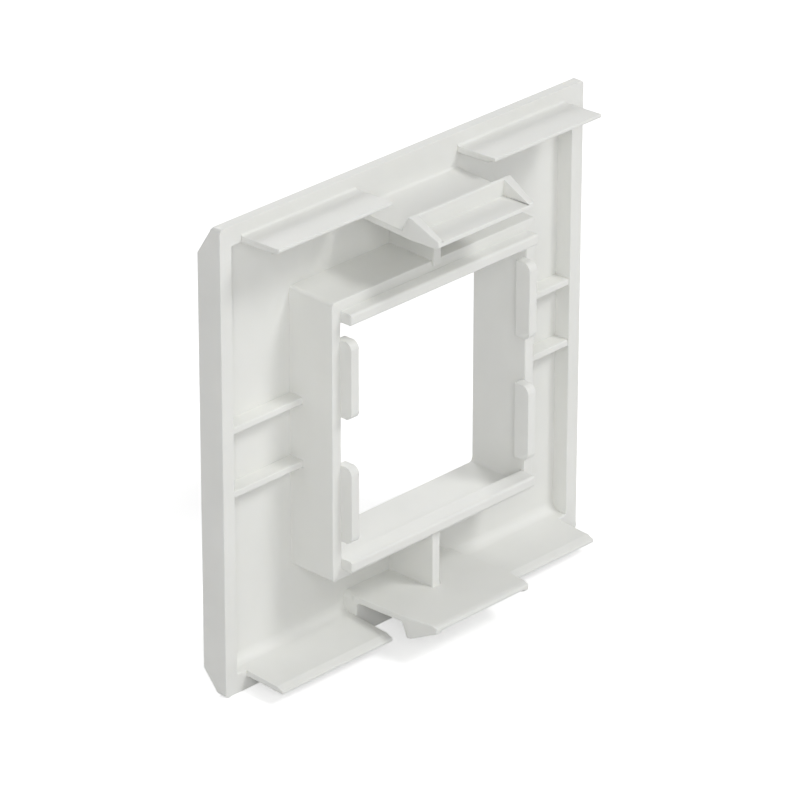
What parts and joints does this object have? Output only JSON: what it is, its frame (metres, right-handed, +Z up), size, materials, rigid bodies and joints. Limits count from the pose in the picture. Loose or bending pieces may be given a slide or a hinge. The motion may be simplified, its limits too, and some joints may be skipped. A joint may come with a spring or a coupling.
{
  "type": "keystone module holder",
  "caption": "Square snap-in cover plate with sloped edges, seen from its back: a lipped collar round the opening for a keystone module, frame ledges and barbed clips.",
  "frame": {"origin": "middle of the plate, in the plane of the rim's rear face, which seats against the wiring frame", "axes": "+Y out of the back, towards the clips; -Y is the show side; +Z up, with the steeper front slope at the bottom; +X to the left as the back is looked at"},
  "size_m": [0.045, 0.0123, 0.045],
  "materials": {
    "plastic": "fine satin moulded surface"
  },
  "bodies": {
    "root": {"module_holder": "plastic"}
  },
  "joints": []
}
